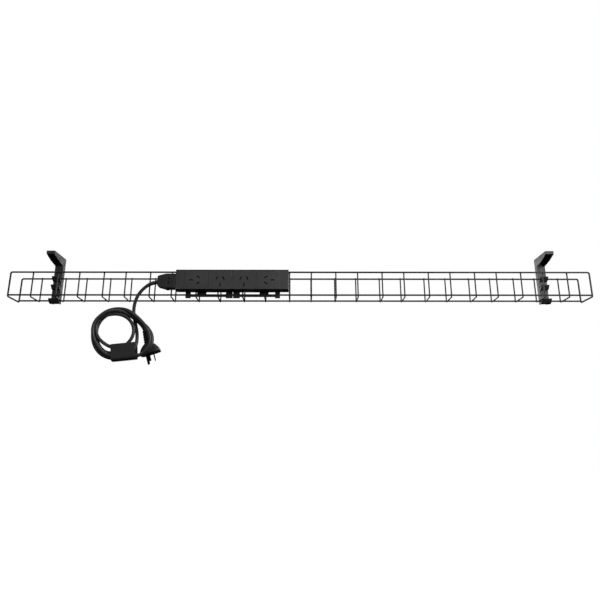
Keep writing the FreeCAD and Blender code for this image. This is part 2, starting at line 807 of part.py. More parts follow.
def connector_shell(label, front):
    """Half of the connector's case, split on the plane of the pins."""
    half, nose = "connector_height / 2", "connector_nose / 2"
    outline = [
        ("connector_x", f"connector_z + {half}"),
        ("connector_x - connector_length + connector_taper", f"connector_z + {half}"),
        ("nose_x + connector_corner", f"connector_z + {nose}"),
        ("nose_x", f"connector_z + {nose} - connector_corner"),
        ("nose_x", f"connector_z - {nose} + connector_corner"),
        ("nose_x + connector_corner", f"connector_z - {nose}"),
        ("connector_x - connector_length + connector_taper", f"connector_z - {half}"),
        ("connector_x", f"connector_z - {half}"),
    ]
    body = outline_body("Case", "XZ", outline, "connector_depth / 2")
    quarter = "connector_depth / 4"
    at(body, y=f"connector_y - {quarter}" if front else f"connector_y + {quarter}")
    face_y = size("connector_y") + (-0.5 if front else 0.5) * size("connector_depth")
    rounded = round_edges("RoundedCase", body, size("connector_edge_r"),
                          lambda edge: abs(edge.CenterOfMass.y - face_y) < 0.1)
    cavity = box("connector_x - cavity_length", "connector_y - cavity_depth / 2",
                 "rail_z - terminal_reach", "cavity_length - end_wall", "cavity_depth",
                 "2 * terminal_reach")
    pin_way = box("connector_x - end_wall - overcut",
                  "connector_y - inlet_pin_thick / 2 - 2 * pin_clearance",
                  "rail_z - inlet_pin_pitch - inlet_pin_width / 2 - 2 * pin_clearance",
                  "end_wall + 2 * overcut",
                  "inlet_pin_thick + 4 * pin_clearance",
                  "2 * inlet_pin_pitch + inlet_pin_width + 4 * pin_clearance")
    gland_way = cylinder("nose_x - overcut", "connector_y", "gland_z", "gland_r",
                         "gland_inside + overcut", X_AXIS)
    latch_way = box("connector_x - latch_at - latch_length / 2 - fit_gap",
                    "connector_y - latch_width / 2 - fit_gap",
                    "connector_z - connector_height / 2 - overcut", "latch_length + 2 * fit_gap",
                    "latch_width + 2 * fit_gap",
                    "overcut + latch_deep + latch_travel + fit_gap")
    screw_ways = [case_screw(side, "screw_play", "(case_head_deep + overcut)")
                  for side in (-1, 1)]
    return cut(label, rounded, cavity, pin_way, gland_way, latch_way, *screw_ways)


def case_screw(side, play="0", rise="0"):
    """Case screw from the front shell into the back one; the head sits in a recess."""
    x = "connector_x - case_screw_at"
    z = f"connector_z + {side} * case_screw_pitch / 2"
    head = cylinder(x, f"connector_y - connector_depth / 2 + case_head_deep - {rise}", z,
                    f"case_screw_r + {play}", f"case_head + {rise}", Y_AXIS)
    shank = cylinder(x, "connector_y - connector_depth / 2 + case_head_deep + case_head / 2", z,
                     f"case_shank_r + {play}",
                     f"connector_depth - case_head_deep - 3 * case_head / 2 + {play}", Y_AXIS)
    return fuse("CaseScrew", head, shank)


def terminal(side):
    """Socket terminal that takes one inlet pin."""
    block = box("connector_x - end_wall - fit_gap - terminal_length",
                "connector_y - cavity_depth / 2 + fit_gap",
                f"rail_z + {side} * inlet_pin_pitch - terminal_height / 2", "terminal_length",
                "cavity_depth - 2 * fit_gap", "terminal_height")
    throat = box("connector_x - end_wall - overcut - terminal_length",
                 "bar_y - inlet_pin_thick - pin_clearance / 2",
                 f"rail_z + {side} * inlet_pin_pitch - inlet_pin_width / 2 - pin_clearance / 2",
                 "terminal_length + 2 * overcut", "inlet_pin_thick + pin_clearance",
                 "inlet_pin_width + pin_clearance")
    return cut("Terminal", block, throat)


def connector_latch():
    """Press-in catch on the underside of the connector."""
    low = "connector_z - connector_height / 2 - latch_stand"
    key = box("connector_x - latch_at - latch_length / 2", "connector_y - latch_width / 2", low,
              "latch_length", "latch_width", "latch_stand + latch_deep")
    low_z = size("connector_z") - size("connector_height") / 2 - size("latch_stand")
    return round_edges("connector_latch", key, size("latch_edge_r"),
                       lambda edge: abs(edge.CenterOfMass.z - low_z) < 0.1)


# ---------------------------------------------------------------- lead

def cord_drop():
    """The lead from the gland to the coil, as runs joined by wide arcs."""
    corners = [vector(*point) for point in CORD_ROUTE]
    corners[0] = vector(size("gland_face_x"), size("connector_y"), size("gland_z"))
    diameter = size("cord_d")
    radii = [0.0] * len(corners)
    for index in range(1, len(corners) - 1):
        back = corners[index] - corners[index - 1]
        ahead = corners[index + 1] - corners[index]
        turn = back.getAngle(ahead)
        radii[index] = 0.45 * min(back.Length, ahead.Length) / math.tan(turn / 2)
        print(f"cord_drop bend {index}: radius {radii[index]:.1f} mm, turn {math.degrees(turn):.1f}")
    path = bent_path(corners, radii)
    tube = round_sweep(path, diameter)
    expected = path.Length * math.pi * diameter ** 2 / 4
    print(f"cord_drop length {path.Length:.1f} mm, volume {tube.Volume:.1f} of {expected:.1f}")
    return shaped("cord_drop", tube)


def cord_coil():
    """The coiled part of the lead, as one ring of its outer shape."""
    points = [vector(x, 0, z) for x, z in COIL_OUTLINE]
    outer = Part.BSplineCurve()
    outer.interpolate(Points=points, PeriodicFlag=True)
    x, z = COIL_EYE
    eye = Part.Ellipse(vector(x + COIL_EYE_HALF[0], 0, z), vector(x, 0, z + COIL_EYE_HALF[1]),
                       vector(x, 0, z))
    face = Part.Face(Part.Wire([outer.toShape()]))
    thick = size("coil_thick")
    hole = Part.Face(Part.Wire([eye.toShape()]))
    ring = face.extrude(Y_AXIS * thick).cut(hole.extrude(Y_AXIS * thick))
    ring.translate(vector(0, COIL_Y - thick / 2, 0))
    return shaped("cord_coil", ring)


def cord_label():
    """Wrap folded under the bundle at the foot of the coil, open at its top."""
    def low_edge(edge):
        return along(X_AXIS)(edge) and edge.CenterOfMass.z < 0

    outer = box("-label_length / 2", "-label_thick / 2", "-label_height / 2", "label_length",
                "label_thick", "label_height")
    rounded = round_edges("Wrap", outer, size("label_fold_r"), low_edge)
    inner = box("-label_length / 2 - overcut", "label_wall - label_thick / 2",
                "label_wall - label_height / 2", "label_length + 2 * overcut",
                "label_thick - 2 * label_wall", "label_height")
    hollow = round_edges("Hollow", inner, size("label_fold_r") - size("label_wall"), low_edge)
    sleeve = cut("cord_label", rounded, hollow)
    sleeve.Placement = FreeCAD.Placement(vector(*LABEL_CENTRE),
                                         FreeCAD.Rotation(Y_AXIS, -size("label_tilt")))
    return sleeve


def plug_placement():
    """Frame of the plug: its face at the origin, the pins along +Z."""
    turn = FreeCAD.Rotation(Y_AXIS, 180 - size("plug_tilt"))
    return FreeCAD.Placement(vector(*PLUG_FACE), turn)


def plug_boot():
    """Ribbed strain relief that runs from its top into the plug's back."""
    count = int(size("boot_ribs"))
    small, large = size("boot_small_r"), size("boot_large_r")
    top = vector(*BOOT_TOP)
    back = plug_placement().multVec(vector(0, 0, -size("plug_length")))
    length = (back - top).Length + size("boot_sink")
    step = length / (2 * count + 1)
    profile = [vector(0, 0, 0)]
    for index in range(2 * count + 1):
        radius = small + (large - small) * (index + 0.5) / (2 * count + 1)
        radius -= size("boot_groove") * (index % 2)
        profile += [vector(radius, 0, index * step), vector(radius, 0, (index + 1) * step)]
    profile += [vector(0, 0, length), vector(0, 0, 0)]
    boot = Part.Face(Part.makePolygon(profile)).revolve(vector(0, 0, 0), Z_AXIS, 360)
    item = shaped("plug_boot", boot)
    item.Placement = FreeCAD.Placement(top, FreeCAD.Rotation(Z_AXIS, back - top))
    return item


def plug_body():
    """Moulded plug: a block that narrows towards the cord."""
    wide, deep = "plug_width / 2", "plug_depth / 2"
    outline = [
        (f"{wide} - plug_corner", f"-{deep}"), (wide, f"plug_corner - {deep}"),
        (wide, f"{deep} - plug_corner"), (f"{wide} - plug_corner", deep),
        (f"plug_corner - {wide}", deep), (f"-{wide}", f"{deep} - plug_corner"),
        (f"-{wide}", f"plug_corner - {deep}"), (f"plug_corner - {wide}", f"-{deep}"),
    ]
    body = outline_body("PlugBlock", "XY", outline, "plug_length", taper="-plug_taper")
    doc.recompute()
    rounded = round_edges("plug_body", body, size("plug_edge_r"),
                          lambda edge: edge.Length > size("plug_edge_r"))
    turned = FreeCAD.Placement(vector(0, 0, 0), FreeCAD.Rotation(X_AXIS, 180))
    rounded.Placement = plug_placement().multiply(turned)
    return rounded


def plug_pins():
    """Two angled line pins and the longer earth pin."""
    thick, wide, root = size("blade_thick"), size("blade_width"), size("pin_root")
    pins = []
    for pole in POLES:
        x, y = pole_centre(pole, size("plug_turn"))
        length = size("earth_pin_length") if pole == "earth" else size("line_pin_length")
        pin = Part.makeBox(thick, wide, length + root, vector(-thick / 2, -wide / 2, -root))
        ends = [edge for edge in pin.Edges if abs(edge.CenterOfMass.z - length) < 0.1]
        pin = pin.makeChamfer(size("pin_chamfer"), ends)
        pin.rotate(vector(0, 0, 0), Z_AXIS, blade_lean(pole, size("plug_turn")))
        pin.translate(vector(x, y, 0))
        pins.append(pin)
    item = shaped("plug_pins", Part.makeCompound(pins))
    item.Placement = plug_placement()
    return item


# ---------------------------------------------------------------- whole part

def build_parts():
    """Every sub-part, in the order of the assembly."""
    tunnels = screw_tunnels()
    channel, left, right = rail_channel(), cradle("Left", -1), cradle("Right", 1)
    for item in (channel, left, right):
        item.Label = f"Plain {item.Label}"
    parts = [
        bracket("bracket_left", "-bracket_spacing / 2"),
        bracket("bracket_right", "bracket_spacing / 2"),
        rim_wire(),
        bottom_wire("bottom_wire_front", "front_y"),
        bottom_wire("bottom_wire_rear", "rear_y"),
        cross_wires(),
        cut("rail_channel", channel, *tunnels),
        cut("cradle_left", left, *tunnels[:2]),
        cut("cradle_right", right, *tunnels[2:]),
        cradle_screws(),
        rail_end_cap("rail_end_cap_left", True),
        rail_end_cap("rail_end_cap_right", False),
    ]
    parts += [socket_module(index) for index in range(len(OUTLET_TURNS))]
    parts += [socket_contacts(pole) for pole in POLES]
    parts += [busbar(pole) for pole in POLES]
    parts += [
        group("inlet_pins", *[inlet_pin(side) for side in (-1, 0, 1)]),
        connector_shell("connector_shell_front", True),
        connector_shell("connector_shell_back", False),
        group("connector_screws", *[case_screw(side) for side in (-1, 1)]),
        group("connector_terminals", *[terminal(side) for side in (-1, 0, 1)]),
        connector_latch(),
        cylinder("gland_face_x", "connector_y", "gland_z", "gland_r", "gland_stand + gland_inside",
                 X_AXIS, "cord_gland"),
        cord_drop(),
        cord_coil(),
        cord_label(),
        plug_boot(),
        plug_body(),
        plug_pins(),
    ]
    return parts


def check_objects():
    """Stop if any object of the document failed to build."""
    for item in doc.Objects:
        if "Invalid" in item.State or "Error" in item.State:
            raise RuntimeError(f"{item.Label} failed: {item.State}")


def export_parts(parts):
    """Check each sub-part's shape and write it as a STEP file."""
    os.makedirs("parts", exist_ok=True)
    for item in parts:
        shape = item.Shape
        if shape.isNull() or not shape.isValid() or not shape.Solids:
            raise RuntimeError(f"{item.Label} has no valid solid")
    for item in parts:
        item.Shape.exportStep(f"parts/{item.Label}.step")
        print(f"{item.Label}: {len(item.Shape.Solids)} solid(s), {item.Shape.Volume / 1000:.2f} cm3")


parts = build_parts()
doc.recompute()
check_objects()
export_parts(parts)
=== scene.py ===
"""Looks of a wire cable tray that hangs under a desk, with its power rail and coiled lead."""

import logging
import math
from collections.abc import Sequence
from dataclasses import dataclass
from enum import Enum

import bpy
import bmesh
from mathutils import Euler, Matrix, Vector


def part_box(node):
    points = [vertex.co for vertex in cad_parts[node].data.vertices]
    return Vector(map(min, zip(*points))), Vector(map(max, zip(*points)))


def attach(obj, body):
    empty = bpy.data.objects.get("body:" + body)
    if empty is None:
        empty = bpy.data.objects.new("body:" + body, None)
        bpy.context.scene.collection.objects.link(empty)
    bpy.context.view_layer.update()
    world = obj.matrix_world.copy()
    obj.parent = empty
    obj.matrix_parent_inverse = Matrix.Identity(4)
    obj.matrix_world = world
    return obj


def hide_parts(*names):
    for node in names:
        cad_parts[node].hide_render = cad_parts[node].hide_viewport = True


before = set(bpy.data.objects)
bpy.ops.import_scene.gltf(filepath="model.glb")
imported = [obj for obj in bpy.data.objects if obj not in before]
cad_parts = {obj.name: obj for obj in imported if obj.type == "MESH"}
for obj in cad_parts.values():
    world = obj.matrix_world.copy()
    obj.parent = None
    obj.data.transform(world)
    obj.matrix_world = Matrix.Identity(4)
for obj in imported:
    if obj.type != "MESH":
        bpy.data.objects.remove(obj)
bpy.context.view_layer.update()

MM = 0.001
# Where a noise's two shades part and meet, and the span that its values mostly fill.
SHADE_SPAN = (0.35, 0.68)
NOISE_SPAN = (0.3, 0.7)
Triple = tuple[float, float, float]
log = logging.getLogger("cable_tray")


class Body(str, Enum):
    """The moving bodies of the tray that pieces ride on."""

    BASKET = "basket"
    LEAD = "lead"


class Slot(str, Enum):
    """Names of the record's material slots, listed beside the new pieces but not given to them.
    """

    WIRE = "wire_coating"
    CORD = "cord_rubber"
    LABEL = "label_film"
    PLUG = "plug_plastic"


def linear(code: str) -> tuple[float, float, float, float]:
    """Turn an sRGB hex code into a linear colour.

    Args:
        code: Six hex digits, such as "1c1c1e".

    Returns:
        Red, green, blue and alpha, linear.
    """
    def channel(pair: str) -> float:
        """Linear value of one channel."""
        value = int(pair, 16) / 255
        return value / 12.92 if value <= 0.04045 else ((value + 0.055) / 1.055) ** 2.4

    return (channel(code[0:2]), channel(code[2:4]), channel(code[4:6]), 1.0)


def add_node(
    tree: bpy.types.NodeTree,
    kind: str,
    settings: dict[str, object] | None = None,
    links: dict[str, bpy.types.NodeSocket] | None = None,
) -> bpy.types.Node:
    """Add one node with its settings and its links.

    Args:
        tree: The node tree.
        kind: The node's type.
        settings: Values by input name or by attribute.
        links: Source sockets by input name.

    Returns:
        The new node.
    """
    node = tree.nodes.new(kind)
    for key, value in (settings or {}).items():
        if hasattr(node, key):
            setattr(node, key, value)
        else:
            node.inputs[key].default_value = value
    for key, source in (links or {}).items():
        tree.links.new(source, node.inputs[key])
    return node


# ---------------------------------------------------------------- finishes


@dataclass(frozen=True)
class Finish:
    """A surface: two close shades in patches, a fine grain and a roughness that drifts.

    Attributes:
        name: Common name and how the surface was made.
        shade: Main colour, sRGB hex.
        drift: The second, patchy colour, sRGB hex.
        patch: Size of the patches, in millimetres.
        grain: Size of the grain, in millimetres.
        relief: Height of the grain, in millimetres.
        rough: Lowest and highest roughness.
        metallic: 1 for bare metal.
        ior: Refraction index, for what isn't metal.
        coat: Strength of a thin clear skin.
        stretch: How much finer the grain is along X, Y and Z.
    """

    name: str
    shade: str
    drift: str
    patch: float
    grain: float
    relief: float
    rough: tuple[float, float]
    metallic: float = 0.0
    ior: float = 1.5
    coat: float = 0.0
    stretch: Triple = (1.0, 1.0, 1.0)

    def build(self) -> bpy.types.Material:
        """Make the material's nodes.

        Returns:
            The material.
        """
        material = bpy.data.materials.new(self.name)
        material.use_nodes = True
        tree = material.node_tree
        shader = tree.nodes["Principled BSDF"]
        shader.inputs["Metallic"].default_value = self.metallic
        shader.inputs["IOR"].default_value = self.ior
        shader.inputs["Coat Weight"].default_value = self.coat
        place = add_node(tree, "ShaderNodeTexCoord").outputs["Object"]
        patches = add_node(
            tree,
            "ShaderNodeTexNoise",
            {"Scale": 1 / (self.patch * MM), "Detail": 3.0, "Roughness": 0.55},
            {"Vector": place},
        )
        tint = add_node(
            tree, "ShaderNodeValToRGB", links={"Fac": patches.outputs["Fac"]}
        )
        ramp = tint.color_ramp.elements
        ramp[0].position, ramp[0].color = SHADE_SPAN[0], linear(self.shade)
        ramp[1].position, ramp[1].color = SHADE_SPAN[1], linear(self.drift)
        tree.links.new(tint.outputs["Color"], shader.inputs["Base Color"])
        scaled = add_node(
            tree, "ShaderNodeMapping", {"Scale": self.stretch}, {"Vector": place}
        )
        fine = self.fine_pattern(tree, scaled.outputs["Vector"])
        sheen = add_node(
            tree,
            "ShaderNodeMapRange",
            {
                "From Min": NOISE_SPAN[0],
                "From Max": NOISE_SPAN[1],
                "To Min": self.rough[0],
                "To Max": self.rough[1],
            },
            {"Value": patches.outputs["Fac"]},
        )
        tree.links.new(sheen.outputs["Result"], shader.inputs["Roughness"])
        bump = add_node(
            tree,
            "ShaderNodeBump",
            {"Strength": 0.6, "Distance": self.relief * MM},
            {"Height": fine},
        )
        tree.links.new(bump.outputs["Normal"], shader.inputs["Normal"])
        return material

    def fine_pattern(
        self, tree: bpy.types.NodeTree, place: bpy.types.NodeSocket
    ) -> bpy.types.NodeSocket:
        """Height of the fine grain.

        Args:
            tree: The material's node tree.
            place: Where on the surface.

        Returns:
            The socket that carries the height.
        """
        noise = add_node(
            tree,
            "ShaderNodeTexNoise",
            {"Scale": 1 / (self.grain * MM), "Detail": 2.0, "Roughness": 0.6},
            {"Vector": place},
        )
        return noise.outputs["Fac"]


@dataclass(frozen=True)
class PittedFinish(Finish):
    """A moulded skin whose tool was spark eroded: small round pits between low flats.

    Attributes:
        cloud: How fine the clouding over the pits is, against the pits.
    """

    cloud: float = 0.4

    def fine_pattern(
        self, tree: bpy.types.NodeTree, place: bpy.types.NodeSocket
    ) -> bpy.types.NodeSocket:
        """Height of the pits, under a faint cloud of noise.

        Args:
            tree: The material's node tree.
            place: Where on the surface.

        Returns:
            The socket that carries the height.
        """
        pits = add_node(
            tree,
            "ShaderNodeTexVoronoi",
            {"Scale": 1 / (self.grain * MM), "feature": "SMOOTH_F1", "Smoothness": 0.6},
            {"Vector": place},
        )
        cloud = add_node(
            tree,
            "ShaderNodeTexNoise",
            {"Scale": self.cloud / (self.grain * MM), "Detail": 2.0},
            {"Vector": place},
        )
        both = add_node(tree, "ShaderNodeMath", {"operation": "ADD"})
        tree.links.new(pits.outputs["Distance"], both.inputs[0])
        tree.links.new(cloud.outputs["Fac"], both.inputs[1])
        return both.outputs["Value"]


# Polyester powder baked on steel wire: a soft satin black with the low waves of orange peel,
# drawn at 1.6 mm where the real ones are nearer 1 mm, so that they show.
POWDER_COAT = Finish(
    "steel_powder_coated", "17171a", "1d1d20", 38.0, 1.6, 0.03, (0.4, 0.5), coat=0.05
)
# Glass-filled nylon moulded in an eroded tool: dull, slightly warm grey where fibres surface.
BRACKET_NYLON = PittedFinish(
    "nylon_moulded_matt", "2b2b2d", "303033", 9.0, 0.9, 0.02, (0.5, 0.62), ior=1.53
)
# Polycarbonate front plates from an eroded tool: an even charcoal with a broad soft glow.
FACE_PLATE = PittedFinish(
    "polycarbonate_moulded_satin",
    "343436",
    "3c3c3e",
    60.0,
    0.7,
    0.05,
    (0.44, 0.54),
    ior=1.58,
)
# PVC channel as it leaves the die: faint draw lines along its length and a darker tone.
CHANNEL = Finish(
    "pvc_extruded",
    "1d1d1f",
    "262628",
    45.0,
    1.2,
    0.05,
    (0.38, 0.5),
    ior=1.53,
    stretch=(0.05, 1.0, 1.0),
)
# ABS clips moulded without polish: near black and flat, with pits that catch a little light.
CRADLE_ABS = PittedFinish(
    "abs_moulded_black", "131315", "1e1e20", 14.0, 0.8, 0.07, (0.48, 0.62), ior=1.52
)
# Nylon connector case: darker than the plates, with a finer pit and rubbed high spots.
CONNECTOR_CASE = PittedFinish(
    "nylon_moulded_satin", "1c1c1e", "262628", 12.0, 0.6, 0.05, (0.42, 0.55), ior=1.53
)
# Flexible PVC jacket: satin black with a chalky bloom and shallow marks from the extruder.
CORD_JACKET = Finish(
    "pvc_jacket_extruded", "29292b", "39393b", 11.0, 1.3, 0.09, (0.4, 0.52), ior=1.53, coat=0.08
)
# Soft PVC moulded over the cord: the plug's skin has the jacket's tone and a coarser pit.
PLUG_PVC = PittedFinish(
    "pvc_overmoulded", "1c1c1e", "28282a", 10.0, 0.8, 0.07, (0.42, 0.56), ior=1.53
)
# Printed polypropylene wrap: flat charcoal ink over a film that shines a little at its folds.
WRAP_FILM = Finish(
    "polypropylene_film_printed", "262628", "2b2b2d", 30.0, 2.4, 0.04, (0.42, 0.5), coat=0.08
)
# Rolled brass with fine lines from the rolls, coloured almost black as painted shade for
# contacts that sit deep in their slots.
BRASS_DARKENED_AS_SHADE = Finish(
    "brass_rolled_painted_shade",
    "2a2416",
    "1f1b12",
    7.0,
    0.5,
    0.02,
    (0.24, 0.38),
    metallic=1.0,
    stretch=(0.08, 1.0, 1.0),
)
# Brass pins coloured near black as painted shade, wiped a little paler along their length by
# use.
PIN_METAL_PAINTED_SHADE = Finish(
    "brass_pins_painted_shade",
    "2e2d2c",
    "222120",
    6.0,
    0.4,
    0.015,
    (0.26, 0.42),
    metallic=1.0,
    stretch=(1.0, 1.0, 0.12),
)
# Zinc-plated steel screws, blackened: a dark metal with a cloudy passivated film.
SCREW_STEEL = Finish(
    "steel_zinc_black", "3a3b3e", "55565a", 2.0, 0.3, 0.015, (0.32, 0.5), metallic=1.0
)


class FinishBook:
    """Builds each finish once and hands out its material."""

    def __init__(self) -> None:
        """Start with no materials."""
        self.made: dict[str, bpy.types.Material] = {}

    def material(self, finish: Finish) -> bpy.types.Material:
        """The material of a finish.

        Args:
            finish: Which finish.

        Returns:
            Its material, built at the first call.
        """
        if finish.name not in self.made:
            self.made[finish.name] = finish.build()
        return self.made[finish.name]

    def dress_node(self, node: str, finish: Finish) -> None:
        """Give a CAD node its finish.

        Args:
            node: The node's name.
            finish: Its finish.
        """
        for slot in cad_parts[node].material_slots:
            slot.material = self.material(finish)

    def dress_piece(self, piece: bpy.types.Object, finish: Finish) -> None:
        """Give a new piece its finish.

        Args:
            piece: The piece.
            finish: Its finish.
        """
        piece.data.materials.clear()
        piece.data.materials.append(self.material(finish))


# ---------------------------------------------------------------- mesh helpers


def link_mesh(name: str, mesh: bmesh.types.BMesh) -> bpy.types.Object:
    """Turn a bmesh into a piece of the scene, shaded smooth.

    Args:
        name: The piece's name.
        mesh: The bmesh, which is freed.

    Returns:
        The new object.
    """
    bmesh.ops.recalc_face_normals(mesh, faces=mesh.faces)
    data = bpy.data.meshes.new(name)
    mesh.to_mesh(data)
    mesh.free()
    data.polygons.foreach_set("use_smooth", [True] * len(data.polygons))
    piece = bpy.data.objects.new(name, data)
    bpy.context.collection.objects.link(piece)
    return piece


def loft(mesh: bmesh.types.BMesh, rings: Sequence[Sequence[Vector]]) -> None:
    """Skin closed rings of equal count and cap both ends.

    Args:
        mesh: Where the faces go.
        rings: The rings, in order.
    """
    made = [[mesh.verts.new(point) for point in ring] for ring in rings]
    count = len(made[0])
    for low, high in zip(made, made[1:]):
        for index in range(count):
            after = (index + 1) % count
            mesh.faces.new((low[index], low[after], high[after], high[index]))
    mesh.faces.new(made[0])
    mesh.faces.new(list(reversed(made[-1])))


def tube_rings(
    line: Sequence[Vector], radii: Sequence[float], sides: int
) -> list[list[Vector]]:
    """Round rings square to a line, without twist.

    Args:
        line: Points of the line.
        radii: Radius at each point.
        sides: Points to a ring.

    Returns:
        One ring to a point.
    """
    rings = []
    side = Vector((0.0, 0.0, 1.0))
    for index, point in enumerate(line):
        ahead = line[min(index + 1, len(line) - 1)] - line[max(index - 1, 0)]
        ahead.normalize()
        side = (side - ahead * side.dot(ahead)).normalized()
        across = ahead.cross(side)
        turns = [step * math.tau / sides for step in range(sides)]
        rings.append(
            [
                point + (side * math.cos(turn) + across * math.sin(turn)) * radii[index]
                for turn in turns
            ]
        )
    return rings


def spline_line(curve: bpy.types.Object) -> list[Vector]:
    """Points along a curve's own spline.

    Args:
        curve: A curve object.

    Returns:
        The points from start to end, in metres.
    """
    bare = curve.copy()
    bare.data = curve.data.copy()
    bare.data.bevel_depth = 0.0
    mesh = bpy.data.meshes.new_from_object(bare)
    points = [vertex.co.copy() for vertex in mesh.vertices]
    bpy.data.objects.remove(bare)
    bpy.data.meshes.remove(mesh)
    return points


def first_stretch(line: Sequence[Vector], length: float) -> list[Vector]:
    """The points of a line up to a distance from its start.

    Args:
        line: Points of the line.
        length: The distance, in metres.

    Returns:
        Points of that stretch.
    """
    stretch = [line[0]]
    run = 0.0
    for before, after in zip(line, line[1:]):
        run += (after - before).length
        if run > length:
            break
        stretch.append(after)
    return stretch


# ---------------------------------------------------------------- sub-assemblies


@dataclass
class Basket:
    """Welded wire basket: dressed wires, and a weld nugget at each crossing.

    Attributes:
        nugget: Length, width and height of a weld nugget, in metres.
        wire_pairs: Number of cross-wire pairs, the ends counted.
        pair_gap: Gap between the two wires of a pair.
        rim: Radius of the rim wire.
        cross: Radius of a cross wire.
        bite: How far a nugget's middle stands inside the long wire's side.
        pinch: How much narrower a nugget is at its top and its foot.
    """

    nugget: Triple = (4.4 * MM, 1.5 * MM, 2.6 * MM)
    wire_pairs: int = 13
    pair_gap: float = 47.0 * MM
    rim: float = 1.8 * MM
    cross: float = 1.5 * MM
    bite: float = 0.2 * MM
    pinch: float = 0.35

    def stations(self) -> list[float]:
        """Places of the cross wires along the basket.

        Returns:
            Their X, without the rim wire's own ends.
        """
        low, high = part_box("rim_wire")
        span = high.x - low.x - 2 * self.rim - self.pair_gap
        middle = (low.x + high.x) / 2
        pitch = span / (self.wire_pairs - 1)
        places = []
        for pair in range(self.wire_pairs):
            centre = middle + (pair - (self.wire_pairs - 1) / 2) * pitch
            places += [centre - self.pair_gap / 2, centre + self.pair_gap / 2]
        return places[1:-1]

    def seams(self) -> list[Triple]:
        """Find the inner side of each long wire.

        Returns:
            For each wire its Y there, its Z, and the way to the inside.
        """
        low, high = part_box("rim_wire")
        foot_low, foot_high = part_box("bottom_wire_front")
        foot = (foot_low.z + foot_high.z) / 2
        rim = high.z - self.rim
        front, rear = low.y + 2 * self.rim, high.y - 2 * self.rim
        return [(front, rim, 1.0), (rear, rim, -1.0), (front, foot, 1.0), (rear, foot, -1.0)]

    def build(self) -> bpy.types.Object:
        """Make the weld nuggets: small saddles squeezed out on both sides of each wire.

        Returns:
            One piece that holds them all.
        """
        mesh = bmesh.new()
        half = 0.5
        for along in self.stations():
            for y, z, inward in self.seams():
                for side in (-1.0, 1.0):
                    centre = Vector((along + side * self.cross, y + inward * self.bite, z))
                    made = bmesh.ops.create_icosphere(mesh, subdivisions=2, radius=half)
                    for vertex in made["verts"]:
                        flat = Vector(a * b for a, b in zip(vertex.co, self.nugget))
                        squeeze = 1.0 - self.pinch * abs(flat.z) / (self.nugget[2] / 2)
                        shift = Vector((flat.x * squeeze * half, flat.y, flat.z))
                        vertex.co = centre + shift
        return link_mesh("weld_nuggets", mesh)

    def dress(self, book: FinishBook) -> None:
        """Coat the wires and the welds.

        Args:
            book: The finishes.
        """
        for node in ("rim_wire", "bottom_wire_front", "bottom_wire_rear", "cross_wires"):
            book.dress_node(node, POWDER_COAT)
        welds = self.build()
        book.dress_piece(welds, POWDER_COAT)
        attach(welds, Body.BASKET.value)
        nuggets = 2 * len(self.seams()) * len(self.stations())
        log.info("basket: wires dressed, %d weld nuggets", nuggets)


@dataclass
class Brackets:
    """The two moulded desk brackets.

    Attributes:
        names: Their CAD nodes.
    """

    names: tuple[str, str] = ("bracket_left", "bracket_right")

    def dress(self, book: FinishBook) -> None:
        """Give both brackets their skin.

        Args:
            book: The finishes.
        """
        for node in self.names:
            book.dress_node(node, BRACKET_NYLON)
        log.info("brackets: dressed")


@dataclass
class PowerRail:
    """Four-outlet rail with its end caps, contacts and clip-on cradles.

    Attributes:
        outlets: Number of outlets.
    """

    outlets: int = 4

    def dress(self, book: FinishBook) -> None:
        """Dress the rail's parts.

        Args:
            book: The finishes.
        """
        faces = [f"socket_module_{number + 1}" for number in range(self.outlets)]
        faces += ["rail_end_cap_left", "rail_end_cap_right"]
        poles = ("active", "neutral", "earth")
        metals = [f"{kind}_{pole}" for kind in ("contacts", "busbar") for pole in poles]
        for nodes, finish in (
            (faces, FACE_PLATE),
            # The contacts and busbars take brass coloured almost black as painted shade.
            (metals, BRASS_DARKENED_AS_SHADE),
            (["rail_channel"], CHANNEL),
            # The inlet pins take the pin metal coloured near black as painted shade.
            (["inlet_pins"], PIN_METAL_PAINTED_SHADE),
            (["cradle_left", "cradle_right"], CRADLE_ABS),
            (["cradle_screws"], SCREW_STEEL),
        ):
            for node in nodes:
                book.dress_node(node, finish)
        log.info("power rail: dressed, %d outlets", self.outlets)


@dataclass
class Connector:
    """Supply connector: a case in two halves with its screws, terminals and latch."""

    def dress(self, book: FinishBook) -> None:
        """Dress the connector's parts.

        Args:
            book: The finishes.
        """
        for node in ("connector_shell_front", "connector_shell_back", "connector_latch"):
            book.dress_node(node, CONNECTOR_CASE)
        book.dress_node("connector_screws", SCREW_STEEL)
        # The terminals take the brass coloured almost black as painted shade.
        book.dress_node("connector_terminals", BRASS_DARKENED_AS_SHADE)
        log.info("connector: dressed")


@dataclass(frozen=True)
class ReliefShape:
    """Sizes of the sleeve that guards the cord where it leaves the connector.

    Attributes:
        reach: How far it goes along the cord.
        inset: How far its root stands inside the case.
        wall: Thickness at its far end.
        groove: Depth of the grooves that let it flex.
        groove_pitch: Distance from groove to groove.
        plain: Share of the length, from the root, without grooves.
        taper: Power of the taper; below 1 it thins fastest near the root.
        sides: Points to a ring.
    """

    reach: float = 24.0 * MM
    inset: float = 0.2 * MM
    wall: float = 0.35 * MM
    groove: float = 0.35 * MM
    groove_pitch: float = 3.4 * MM
    plain: float = 0.25
    taper: float = 0.8
    sides: int = 28


